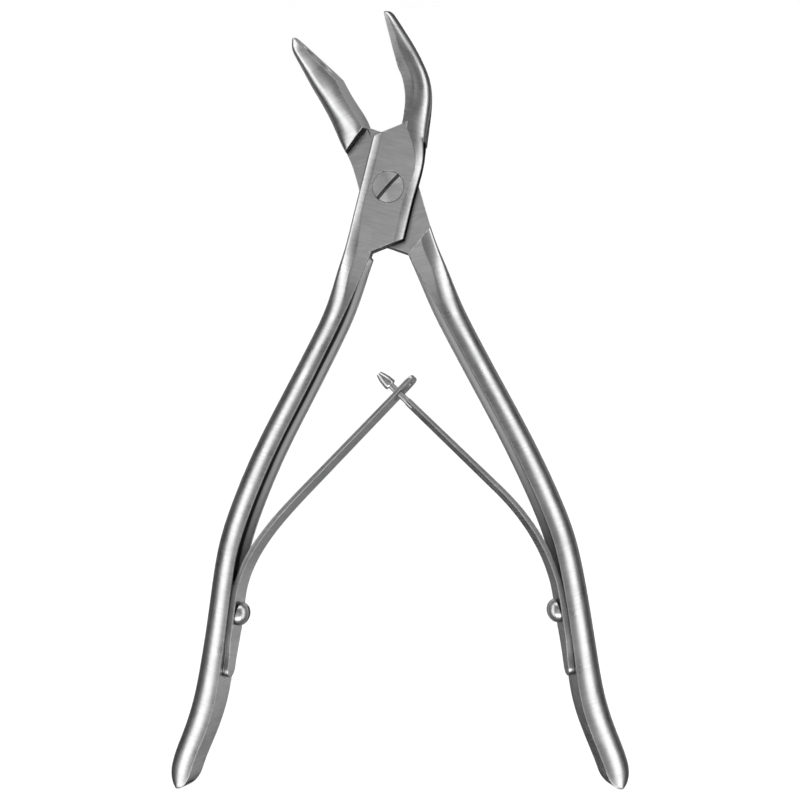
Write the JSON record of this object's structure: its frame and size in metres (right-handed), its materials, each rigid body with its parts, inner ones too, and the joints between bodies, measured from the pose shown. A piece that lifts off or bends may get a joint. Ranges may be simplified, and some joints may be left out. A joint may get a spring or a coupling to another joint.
{
  "type": "bone rongeur",
  "caption": "Side curved bone rongeur with cupped jaws, a lap joint with a slotted screw, hollow handles and hooked double leaf springs",
  "frame": {"origin": "On the joint axis, at the flat back of the joint that the instrument lies on.", "axes": "+Y runs from the joint to the jaws, along the bisector of the open handles. +Z points from the back to the side with the joint screw's head. +X points to the right jaw and right handle."},
  "size_m": [0.0888, 0.152, 0.0084],
  "materials": {
    "arm_steel": "satin forged stainless steel, brushed along its length",
    "screw_steel": "turned stainless steel",
    "spring_steel": "polished strip stainless steel with brushed edges"
  },
  "bodies": {
    "front": {"front_arm": "arm_steel", "left_leaf_spring": "spring_steel", "left_spring_screw": "screw_steel"},
    "rear": {"rear_arm": "arm_steel", "pivot_screw": "screw_steel", "right_leaf_spring": "spring_steel", "right_spring_screw": "screw_steel"}
  },
  "joints": [
    {"name": "jaw_hinge", "type": "hinge", "parent": "front", "child": "rear", "pos_m": [0, 0, 0], "axis": [0, 0, -1], "range_deg": [0, 30], "stiffness_Nm_per_rad": 1.1, "deforming": ["left_leaf_spring", "right_leaf_spring"]}
  ]
}
